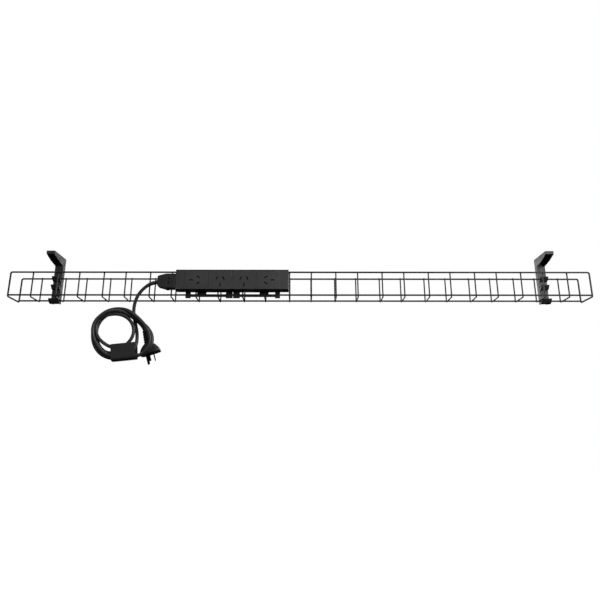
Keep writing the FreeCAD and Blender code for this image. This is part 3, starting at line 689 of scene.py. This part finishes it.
@dataclass(frozen=True)
class WrapShape:
    """Sizes of the film folded under the bundle.

    Attributes:
        length: Length along the bundle.
        height: Height of each flap.
        thick: Distance from flap to flap.
        fold: Radius of the fold at the foot.
        film: Thickness of the film.
        tilt: How far the wrap leans, in degrees.
        flap_steps: Rows of faces in a flap.
        fold_steps: Rows of faces round a quarter of the fold.
        columns: Columns of faces along the length.
        swell: How far the bundle pushes the film out at its middle.
        crease: Height of the small creases.
        crease_wave: Radians of the crease wave along the length.
        crease_shift: Radians that the wave shifts from row to row.
        draw: How far the film draws in at its two ends.
        draw_power: How close to the ends that draw stays.
        edge: Rounding of the film's edges.
        edge_steps: Faces across that rounding.
    """

    length: float = 49.0 * MM
    height: float = 34.4 * MM
    thick: float = 19.0 * MM
    fold: float = 5.5 * MM
    film: float = 0.7 * MM
    tilt: float = 5.8
    flap_steps: int = 9
    fold_steps: int = 6
    columns: int = 22
    swell: float = 0.45 * MM
    crease: float = 0.07 * MM
    crease_wave: float = 19.0
    crease_shift: float = 0.7
    draw: float = 0.5 * MM
    draw_power: int = 6
    edge: float = 0.25 * MM
    edge_steps: int = 2


@dataclass(frozen=True)
class BootShape:
    """Sizes of the ribbed boot.

    Attributes:
        rise: How far its mouth stands above the cord's last bend.
        foot: Distance of its foot behind the plug's face.
        overlap: How far it goes on into the plug.
        mouth: Radius of the core at the mouth.
        growth: How much wider the core is at the foot.
        ribs: Number of ribs.
        rib: Height of a rib.
        rib_flat: How much a rib is overdriven, so that its top is flat.
        collar: Height of the plain collar at the foot.
        collar_from: Share of the length where the collar starts.
        web: Height of the webs that split the ribs.
        web_power: How narrow the webs are.
        lip_share: Share of the length over which the mouth's lip is rounded.
        lip_draw: How much narrower the lip's edge is, as a share.
        sides: Points to a ring.
        slices: Steps along the boot.
    """

    rise: float = 0.5 * MM
    foot: float = 22.0 * MM
    overlap: float = 2.5 * MM
    mouth: float = 4.3 * MM
    growth: float = 2.9 * MM
    ribs: int = 6
    rib: float = 1.25 * MM
    rib_flat: float = 1.8
    collar: float = 1.1 * MM
    collar_from: float = 0.97
    web: float = 0.95 * MM
    web_power: int = 4
    lip_share: float = 0.05
    lip_draw: float = 0.1
    sides: int = 40
    slices: int = 84


@dataclass(frozen=True)
class PlugShape:
    """Sizes of the moulded plug, those of its outline in millimetres.

    Attributes:
        tilt: How far its pins lean to the right of straight down, in degrees.
        face_ahead: Distance from the body's middle to its face, in metres.
        stations: Distance behind the face, half width and half depth.
        square: Power of the outline at the face; 2 is an ellipse.
        soften: How much lower that power is at the back.
        grip: Where the finger ridges start and end behind the face.
        ridge_pitch: Distance from ridge to ridge.
        ridge: Depth of the hollow between two ridges.
        ridge_power: How close the ridges keep to the narrow sides.
        sides: Points to a ring.
        fill: Rings from one station to the next.
    """

    tilt: float = 17.6
    face_ahead: float = 11.5 * MM
    stations: tuple[Triple, ...] = (
        (0.0, 19.4, 11.6),
        (0.5, 20.4, 12.4),
        (1.4, 20.9, 12.9),
        (5.0, 20.8, 12.9),
        (8.0, 20.0, 12.4),
        (12.0, 18.2, 11.6),
        (16.0, 15.6, 10.6),
        (19.5, 12.6, 9.6),
        (22.0, 9.6, 8.8),
        (23.4, 8.2, 8.0),
    )
    square: float = 5.0
    soften: float = 2.6
    grip: tuple[float, float] = (5.0, 18.0)
    ridge_pitch: float = 3.2
    ridge: float = 0.5
    ridge_power: int = 3
    sides: int = 56
    fill: int = 6


@dataclass
class Lead:
    """Supply lead: strain relief, cord in loose turns, wrap, ribbed boot, plug and pins.

    Attributes:
        diameter: Diameter of the cord.
        length: Length of the cord from the gland to the plug; not used.
        round_steps: Fineness of the cord's round.
        span_steps: Fineness of the cord's line, for each point of its route.
        relief: Sizes of the strain relief.
        film: Sizes of the wrap.
        sleeve: Sizes of the boot.
        moulding: Sizes of the plug.
        drop: Route from the gland down to the coil, in millimetres.
        turns: Route of each turn of the coil, in millimetres.
        tail: Route from the coil into the boot, in millimetres.
    """

    diameter: float = 7.0 * MM
    length: float = 1.38
    round_steps: int = 6
    span_steps: int = 8
    relief: ReliefShape = ReliefShape()
    film: WrapShape = WrapShape()
    sleeve: BootShape = BootShape()
    moulding: PlugShape = PlugShape()
    drop: tuple[Triple, ...] = (
        (-302.8, -47.6, -78.5),
        (-312.5, -47.8, -80.6),
        (-323.0, -47.9, -86.4),
        (-332.6, -47.4, -95.0),
        (-340.8, -46.3, -106.0),
        (-346.0, -44.5, -118.6),
        (-348.8, -42.0, -131.8),
        (-349.0, -39.2, -144.6),
    )
    turns: tuple[tuple[Triple, ...], ...] = (
        (
            (-347.0, -37.0, -157.0),
            (-343.0, -37.2, -170.0),
            (-338.5, -40.5, -184.0),
            (-336.0, -44.8, -198.0),
            (-336.0, -46.5, -212.0),
            (-340.5, -47.0, -225.0),
            (-351.0, -47.5, -234.8),
            (-366.0, -47.5, -240.0),
            (-383.0, -47.0, -241.0),
            (-399.5, -46.0, -236.5),
            (-413.5, -45.2, -226.5),
            (-423.5, -44.6, -212.0),
            (-428.3, -44.2, -195.5),
            (-428.8, -44.0, -178.0),
            (-424.5, -44.0, -161.5),
            (-415.0, -44.0, -148.0),
            (-401.5, -44.0, -139.0),
            (-386.0, -44.2, -135.3),
            (-370.5, -46.3, -136.2),
            (-356.0, -52.6, -141.3),
        ),
        (
            (-343.0, -57.6, -150.0),
            (-329.5, -58.2, -161.5),
            (-316.5, -58.3, -175.5),
            (-307.5, -57.8, -191.5),
            (-304.8, -57.2, -207.5),
            (-309.0, -56.3, -222.0),
            (-320.0, -55.3, -232.5),
            (-335.0, -54.7, -238.5),
            (-352.0, -54.6, -240.3),
            (-370.0, -54.4, -240.8),
            (-388.0, -54.0, -236.0),
            (-403.0, -54.3, -226.5),
            (-415.0, -55.3, -212.5),
            (-422.5, -56.7, -196.0),
            (-425.0, -57.3, -179.0),
            (-420.5, -56.9, -163.0),
            (-410.0, -55.6, -150.5),
            (-395.5, -53.6, -143.2),
            (-379.5, -52.0, -140.9),
            (-364.0, -50.8, -145.2),
        ),
        (
            (-350.5, -50.2, -152.3),
            (-338.0, -50.2, -158.8),
            (-324.0, -50.5, -168.0),
            (-312.5, -50.8, -179.0),
            (-305.0, -51.0, -190.5),
            (-302.3, -51.0, -203.5),
            (-304.8, -50.5, -216.5),
            (-312.0, -49.6, -227.3),
            (-323.0, -49.0, -233.6),
            (-336.0, -49.8, -234.6),
            (-348.5, -53.2, -231.6),
            (-361.5, -54.2, -227.0),
            (-376.0, -54.2, -221.0),
            (-391.0, -53.2, -216.0),
            (-404.8, -52.0, -207.5),
            (-415.0, -51.0, -197.0),
            (-420.6, -50.3, -184.3),
            (-420.6, -50.3, -171.0),
            (-415.3, -50.2, -159.3),
            (-404.5, -49.9, -152.2),
            (-391.8, -50.2, -148.8),
            (-378.3, -51.2, -148.4),
            (-364.8, -51.3, -152.0),
        ),
        (
            (-352.5, -50.3, -160.5),
            (-345.0, -49.8, -172.0),
            (-342.3, -49.5, -185.0),
            (-344.8, -49.5, -198.0),
            (-352.5, -49.3, -209.5),
            (-364.5, -48.3, -219.5),
            (-378.5, -47.4, -228.0),
            (-393.0, -46.2, -229.5),
            (-406.0, -45.2, -222.3),
            (-415.2, -44.6, -209.5),
            (-420.5, -44.0, -194.0),
            (-421.3, -44.0, -178.0),
            (-416.5, -44.0, -163.0),
            (-406.5, -44.0, -151.3),
            (-393.0, -44.0, -144.8),
            (-378.0, -44.2, -143.0),
            (-362.5, -44.2, -147.0),
        ),
    )
    tail: tuple[Triple, ...] = (
        (-348.5, -43.7, -154.2),
        (-337.0, -43.2, -163.0),
        (-328.0, -41.5, -172.0),
        (-322.8, -39.0, -181.0),
        (-320.7, -36.9, -188.5),
    )

    def route(self) -> list[Vector]:
        """Join the stretches of the cord's route.

        Returns:
            Control points from the gland to the plug, in metres.
        """
        points = list(self.drop)
        for turn in self.turns:
            points += turn
        points += self.tail
        return [Vector(point) * MM for point in points]

    def cord(self) -> bpy.types.Object:
        """Make the cord as one smooth spline.

        Returns:
            The curve object.
        """
        data = bpy.data.curves.new("cord_lead", "CURVE")
        data.dimensions = "3D"
        data.bevel_depth = self.diameter / 2
        data.bevel_resolution = self.round_steps
        data.resolution_u = self.span_steps
        data.use_fill_caps = True
        spline = data.splines.new("NURBS")
        points = self.route()
        spline.points.add(len(points) - 1)
        for target, point in zip(spline.points, points):
            target.co = (*point, 1.0)
        spline.order_u = 3
        spline.use_endpoint_u = True
        piece = bpy.data.objects.new("cord_lead", data)
        bpy.context.collection.objects.link(piece)
        return piece

    def strain_relief(self, line: Sequence[Vector]) -> bpy.types.Object:
        """Tapered sleeve from inside the case to a short way down the cord.

        Args:
            line: Points of the cord's spline.

        Returns:
            The sleeve.
        """
        shape = self.relief
        low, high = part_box("cord_gland")
        root_radius = (high.z - low.z) / 2
        end_radius = self.diameter / 2 + shape.wall
        root = Vector((high.x - shape.inset, line[0].y, line[0].z))
        path = [root] + first_stretch(line, shape.reach)
        runs = [0.0]
        for before, after in zip(path, path[1:]):
            runs.append(runs[-1] + (after - before).length)
        radii = []
        for run in runs:
            share = run / runs[-1]
            wave = max(0.0, math.sin(run / shape.groove_pitch * math.tau))
            groove = shape.groove * wave * (share > shape.plain)
            thinning = (end_radius - root_radius) * share**shape.taper
            radii.append(root_radius + thinning - groove)
        mesh = bmesh.new()
        loft(mesh, tube_rings(path, radii, shape.sides))
        return link_mesh("strain_relief", mesh)

    def wrap_profile(self) -> list[tuple[float, float]]:
        """Draw the wrap's section: down one flap, round the fold and up the other.

        Returns:
            Y and Z of each point, from the wrap's middle.
        """
        shape = self.film
        half, foot = shape.thick / 2, -shape.height / 2
        drop = shape.height - shape.fold
        profile = [
            (-half, shape.height / 2 - drop * step / shape.flap_steps)
            for step in range(shape.flap_steps)
        ]
        for step in range(shape.fold_steps + 1):
            turn = math.pi / 2 * step / shape.fold_steps
            y = -half + shape.fold * (1 - math.cos(turn))
            profile.append((y, foot + shape.fold * (1 - math.sin(turn))))
        return profile + [(-y, z) for y, z in reversed(profile)]

    def wrap(self) -> bpy.types.Object:
        """Film folded under the bundle, open at its top, a little slack between its folds.

        Returns:
            The wrap.
        """
        shape = self.film
        low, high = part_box("cord_label")
        centre = (low + high) / 2
        lean = Euler((0.0, -math.radians(shape.tilt), 0.0))
        profile = self.wrap_profile()
        last = len(profile) - 1
        mesh = bmesh.new()
        rows = []
        for column in range(shape.columns + 1):
            share = column / shape.columns
            row = []
            for index, (y, z) in enumerate(profile):
                belly = math.sin(share * math.pi) * math.sin(index * math.pi / last)
                ripple = math.sin(share * shape.crease_wave + index * shape.crease_shift)
                ends = abs(2 * share - 1) ** shape.draw_power
                push = shape.swell * belly + shape.crease * ripple - ends * shape.draw
                along = (share - 0.5) * shape.length
                point = Vector((along, y + math.copysign(push, y), z))
                point.rotate(lean)
                row.append(mesh.verts.new(centre + point))
            rows.append(row)
        for left, right in zip(rows, rows[1:]):
            for index in range(last):
                mesh.faces.new((left[index], left[index + 1], right[index + 1], right[index]))
        piece = link_mesh("wrap_film", mesh)
        solid = piece.modifiers.new("thickness", "SOLIDIFY")
        solid.thickness = shape.film
        solid.offset = -1.0
        rounding = piece.modifiers.new("soft_edge", "BEVEL")
        rounding.width = shape.edge
        rounding.segments = shape.edge_steps
        return piece

    def plug_axes(self) -> tuple[Vector, Vector, Vector, Vector]:
        """Find the plug's frame from its body's box and the lean of its pins.

        Returns:
            The centre of its face, the way of the pins, and its width's and depth's ways.
        """
        tilt = math.radians(self.moulding.tilt)
        ahead = Vector((math.sin(tilt), 0.0, -math.cos(tilt)))
        depth = Vector((0.0, 1.0, 0.0))
        width = depth.cross(ahead)
        low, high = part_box("plug_body")
        face = (low + high) / 2 + ahead * self.moulding.face_ahead
        return face, ahead, width, depth

    def boot(self) -> bpy.types.Object:
        """Ribbed boot between the cord and the plug, with split ribs on a tapering core.

        Returns:
            The boot.
        """
        shape = self.sleeve
        face, ahead, _, _ = self.plug_axes()
        top = Vector(self.tail[-2]) * MM
        top.z += shape.rise
        axis = face - ahead * shape.foot - top
        length = axis.length + shape.overlap
        way = axis.normalized()
        side = way.orthogonal().normalized()
        across = way.cross(side)
        rings = []
        for index in range(shape.slices + 1):
            share = index / shape.slices
            core = shape.mouth + shape.growth * share
            wave = (1 - math.cos(share * shape.ribs * math.tau)) / 2
            rib = shape.rib * min(1.0, shape.rib_flat * wave)
            if share >= shape.collar_from:
                rib = shape.collar
            lip = 1 - shape.lip_draw * (1 - min(1.0, share / shape.lip_share))
            ring = []
            for step in range(shape.sides):
                turn = step * math.tau / shape.sides
                web = max(0.0, math.cos(2 * turn)) ** shape.web_power
                radius = (core + rib * (1 - web) + shape.web * web) * lip
                spoke = side * math.cos(turn) + across * math.sin(turn)
                ring.append(top + way * length * share + spoke * radius)
            rings.append(ring)
        mesh = bmesh.new()
        loft(mesh, rings)
        return link_mesh("plug_boot_ribbed", mesh)

    def plug_ring(self, back: float, half_wide: float, half_deep: float) -> list[Vector]:
        """One outline of the plug, a rounded square with finger ridges on its narrow sides.

        Args:
            back: Distance behind the face, in millimetres.
            half_wide: Half the width there, in millimetres.
            half_deep: Half the depth there, in millimetres.

        Returns:
            Points of the outline, in metres.
        """
        shape = self.moulding
        face, ahead, width, depth = self.plug_axes()
        square = shape.square - shape.soften * back / shape.stations[-1][0]
        start, end = shape.grip
        ridge = 0.0
        if start < back < end:
            ridge = max(0.0, math.sin((back - start) / shape.ridge_pitch * math.tau))
        ring = []
        for step in range(shape.sides):
            turn = step * math.tau / shape.sides
            cos, sin = math.cos(turn), math.sin(turn)
            hollow = shape.ridge * ridge * abs(cos) ** shape.ridge_power
            x = math.copysign(abs(cos) ** (2 / square), cos) * (half_wide - hollow)
            y = math.copysign(abs(sin) ** (2 / square), sin) * half_deep
            ring.append(face - ahead * back * MM + width * x * MM + depth * y * MM)
        return ring

    def plug(self) -> bpy.types.Object:
        """Moulded plug: a squarish body that narrows to the boot.

        Returns:
            The plug's body.
        """
        shape = self.moulding
        rings = []
        for before, after in zip(shape.stations, shape.stations[1:]):
            for part in range(shape.fill):
                share = part / shape.fill
                sizes = (a + (b - a) * share for a, b in zip(before, after))
                rings.append(self.plug_ring(*sizes))
        mesh = bmesh.new()
        loft(mesh, rings)
        return link_mesh("plug_moulding", mesh)

    def dress(self, book: FinishBook) -> None:
        """Args:
            book: The finishes.
        """
        cord = self.cord()
        line = spline_line(cord)
        relief = self.strain_relief(line)
        wrap, boot, plug = self.wrap(), self.boot(), self.plug()
        for piece, finish, slot, nodes in (
            (cord, CORD_JACKET, Slot.CORD, ("cord_drop", "cord_coil")),
            (relief, CORD_JACKET, Slot.CORD, ("cord_gland",)),
            (wrap, WRAP_FILM, Slot.LABEL, ("cord_label",)),
            (boot, PLUG_PVC, Slot.PLUG, ("plug_boot",)),
            (plug, PLUG_PVC, Slot.PLUG, ("plug_body",)),
        ):
            book.dress_piece(piece, finish)
            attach(piece, Body.LEAD.value)
            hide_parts(*nodes)
        # The plug's pins are coloured near black as painted shade.
        book.dress_node("plug_pins", PIN_METAL_PAINTED_SHADE)
        length = sum((after - before).length for before, after in zip(line, line[1:]))
        log.info("lead: cord of %.3f m in %d turns, with its plug", length, len(self.turns))


# ---------------------------------------------------------------- studio


@dataclass
class Panel:
    """One soft light.

    Attributes:
        name: Its name.
        place: Where it stands, in metres.
        aim: The point that it faces.
        size: Width and height.
        watts: Its power.
    """

    name: str
    place: Triple
    aim: Triple
    size: tuple[float, float]
    watts: float

    def build(self) -> None:
        """Stand the light in its place."""
        data = bpy.data.lights.new(self.name, "AREA")
        data.shape = "RECTANGLE"
        data.size, data.size_y = self.size
        data.energy = self.watts
        lamp = bpy.data.objects.new(self.name, data)
        lamp.location = self.place
        way = Vector(self.aim) - Vector(self.place)
        lamp.rotation_euler = way.to_track_quat("-Z", "Y").to_euler()
        bpy.context.collection.objects.link(lamp)


@dataclass
class Studio:
    """Pale floor, soft panels, an even pale surround and the camera.

    Attributes:
        floor_z: Height of the floor, below the desk's underside.
        floor_half: Half the floor's side.
        floor_tiles: Faces along the floor's side.
        floor_glow: How strongly the floor shines by itself, so that it stays pale.
        fibre: Size of the paper's fibre clouds, in metres.
        eye: Place of the camera.
        pitch: How far the camera looks up, in degrees.
        yaw: How far it looks to the right, in degrees.
        lens: Focal length, in millimetres.
        sensor: Width of the sensor, in millimetres.
        near: The nearest distance that the camera sees.
    """

    floor_z: float = -1.1
    floor_half: float = 14.0
    floor_tiles: int = 24
    floor_glow: float = 0.8
    fibre: float = 1 / 60
    eye: Triple = (-0.00405, -1.1326, -0.4164)
    pitch: float = 15.415
    yaw: float = 0.16
    lens: float = 32.26
    sensor: float = 36.0
    near: float = 0.01

    def floor(self) -> None:
        """Lay a pale floor of matt white paper, faintly clouded by its fibres."""
        mesh = bmesh.new()
        tiles = self.floor_tiles
        bmesh.ops.create_grid(mesh, x_segments=tiles, y_segments=tiles, size=self.floor_half)
        for vertex in mesh.verts:
            vertex.co.z = self.floor_z
        floor = link_mesh("studio_floor", mesh)
        material = bpy.data.materials.new("paper_matt_white")
        material.use_nodes = True
        tree = material.node_tree
        shader = tree.nodes["Principled BSDF"]
        shader.inputs["Roughness"].default_value = 0.95
        shader.inputs["Emission Color"].default_value = linear("ffffff")
        shader.inputs["Emission Strength"].default_value = self.floor_glow
        place = add_node(tree, "ShaderNodeTexCoord").outputs["Object"]
        fibres = add_node(
            tree,
            "ShaderNodeTexNoise",
            {"Scale": 1 / self.fibre, "Detail": 4.0},
            {"Vector": place},
        )
        tone = add_node(
            tree, "ShaderNodeValToRGB", links={"Fac": fibres.outputs["Fac"]}
        )
        tone.color_ramp.elements[0].color = linear("f4f4f4")
        tone.color_ramp.elements[1].color = linear("ffffff")
        tree.links.new(tone.outputs["Color"], shader.inputs["Base Color"])
        floor.data.materials.append(material)
        floor.visible_diffuse = False
        floor.visible_glossy = False

    def surround(self) -> None:
        """Fill the surround: white to look at, and dim from below for the object."""
        world = bpy.data.worlds.new("studio_surround")
        bpy.context.scene.world = world
        world.use_nodes = True
        tree = world.node_tree
        tree.nodes.clear()
        way = add_node(tree, "ShaderNodeTexCoord").outputs["Generated"]
        height = add_node(tree, "ShaderNodeSeparateXYZ", links={"Vector": way})
        fill = add_node(
            tree,
            "ShaderNodeMapRange",
            {"From Min": -0.25, "From Max": 0.6, "To Min": 0.012, "To Max": 0.3},
            {"Value": height.outputs["Z"]},
        )
        seen = add_node(tree, "ShaderNodeLightPath").outputs["Is Camera Ray"]
        strength = add_node(
            tree,
            "ShaderNodeMix",
            {"data_type": "FLOAT", "B": 1.0},
            {"Factor": seen, "A": fill.outputs["Result"]},
        )
        back = add_node(
            tree,
            "ShaderNodeBackground",
            {"Color": linear("ffffff")},
            {"Strength": strength.outputs["Result"]},
        )
        add_node(
            tree, "ShaderNodeOutputWorld", links={"Surface": back.outputs["Background"]}
        )

    def panels(self) -> None:
        """Stand the soft lights: key right, fill left, one above and one behind."""
        for panel in (
            Panel("key_panel", (1.25, -1.35, 0.35), (0.0, 0.0, -0.08), (1.2, 1.0), 25.0),
            Panel("fill_panel", (-1.9, -1.7, 0.1), (-0.2, 0.0, -0.08), (1.6, 1.2), 2.5),
            Panel("top_panel", (0.0, -0.3, 1.5), (0.0, 0.0, 0.0), (2.4, 1.0), 6.0),
            Panel("back_panel", (-0.5, 1.9, 0.5), (-0.1, 0.0, -0.08), (1.8, 1.0), 22.0),
        ):
            panel.build()

    def camera(self) -> None:
        """Set the camera up, with a plain tone curve so that the surround stays white."""
        data = bpy.data.cameras.new("studio_camera")
        data.lens = self.lens
        data.sensor_width = self.sensor
        data.clip_start = self.near
        camera = bpy.data.objects.new("studio_camera", data)
        camera.location = self.eye
        camera.rotation_euler = (
            math.radians(90.0 + self.pitch),
            0.0,
            math.radians(-self.yaw),
        )
        bpy.context.collection.objects.link(camera)
        bpy.context.scene.camera = camera
        bpy.context.scene.view_settings.view_transform = "Standard"

    def build(self) -> None:
        """Put the studio up."""
        self.floor()
        self.surround()
        self.panels()
        self.camera()
        log.info("studio: floor, surround, panels and camera")


def main() -> None:
    """Build the studio and dress each sub-assembly in order."""
    logging.basicConfig(level=logging.INFO, format="%(message)s")
    book = FinishBook()
    Studio().build()
    for assembly in (Lead(), Basket(), Brackets(), PowerRail(), Connector()):
        assembly.dress(book)


if __name__ == "__main__":
    main()
